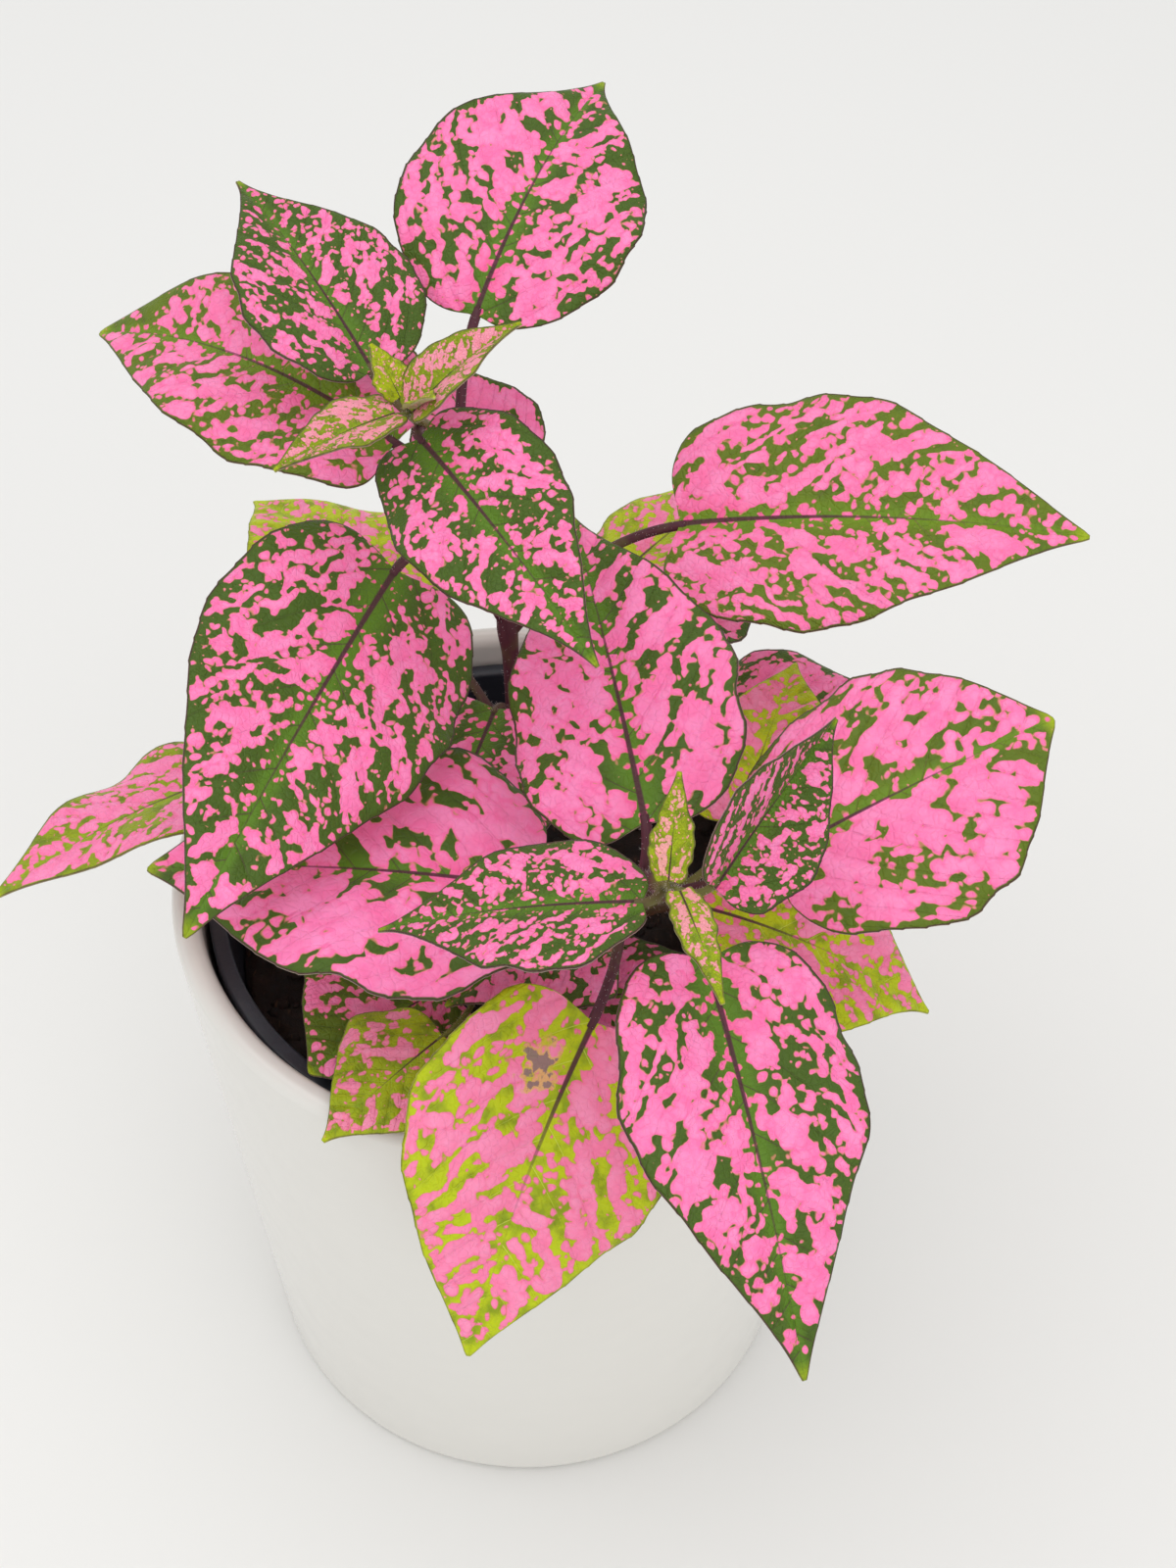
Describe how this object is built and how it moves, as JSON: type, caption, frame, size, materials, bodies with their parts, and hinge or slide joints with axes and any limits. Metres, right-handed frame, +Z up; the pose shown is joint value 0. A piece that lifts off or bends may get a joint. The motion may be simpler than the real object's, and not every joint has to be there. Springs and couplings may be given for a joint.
{
  "type": "potted polka dot plant",
  "caption": "Leafy house plant with pink-spotted green leaves, in a nursery pot inside a round glazed ceramic pot.",
  "frame": {"origin": "middle of the ceramic pot's flat base, at the level that it stands on", "axes": "+Z up along the pot's axis, and the plant's front, where its lowest long leaf hangs over the rim, faces -Y"},
  "size_m": [0.1789, 0.199, 0.2253],
  "materials": {
    "ceramic_glaze": "glossy off-white glaze, smooth, with soft highlights",
    "black_plastic": "thin black moulded plastic with a cool satin sheen",
    "potting_soil": "dark brown crumbly compost, damp and matt",
    "stem": "purple-brown stems and leaf stalks, greener at the tips, finely hairy",
    "pink_leaf": "dark green leaf with pink blotches along its side veins, slightly quilted, satin",
    "lime_leaf": "yellow-green leaf with paler pink blotches, slightly quilted, satin"
  },
  "bodies": {
    "root": {"ceramic_pot": "ceramic_glaze", "nursery_pot": "black_plastic", "potting_soil": "potting_soil", "stem_tall": "stem", "stem_front": "stem", "stem_rear": "stem", "stem_low": "stem", "leaf_tall_1_left": "lime_leaf", "leaf_tall_1_front": "pink_leaf", "leaf_tall_2_right": "pink_leaf", "leaf_tall_2_front": "pink_leaf", "leaf_tall_3_left": "pink_leaf", "leaf_tall_3_back": "pink_leaf", "leaf_tall_4_back": "pink_leaf", "leaf_tall_4_front": "pink_leaf", "leaf_front_1_right": "lime_leaf", "leaf_front_1_left": "pink_leaf", "leaf_front_2_front": "lime_leaf", "leaf_front_2_back": "lime_leaf", "leaf_front_3_left": "pink_leaf", "leaf_front_3_right": "pink_leaf", "leaf_front_4_back": "pink_leaf", "leaf_front_4_front": "pink_leaf", "leaf_front_5_left": "pink_leaf", "leaf_front_5_right": "pink_leaf", "leaf_low_1_front": "lime_leaf", "leaf_low_1_left": "pink_leaf", "leaf_low_1_back": "pink_leaf", "leaf_low_2_left": "pink_leaf", "leaf_low_2_right": "pink_leaf", "leaf_rear_1_back": "pink_leaf", "leaf_rear_1_right": "pink_leaf", "leaf_rear_2_right": "lime_leaf", "leaf_rear_3_left": "pink_leaf"}
  },
  "joints": []
}
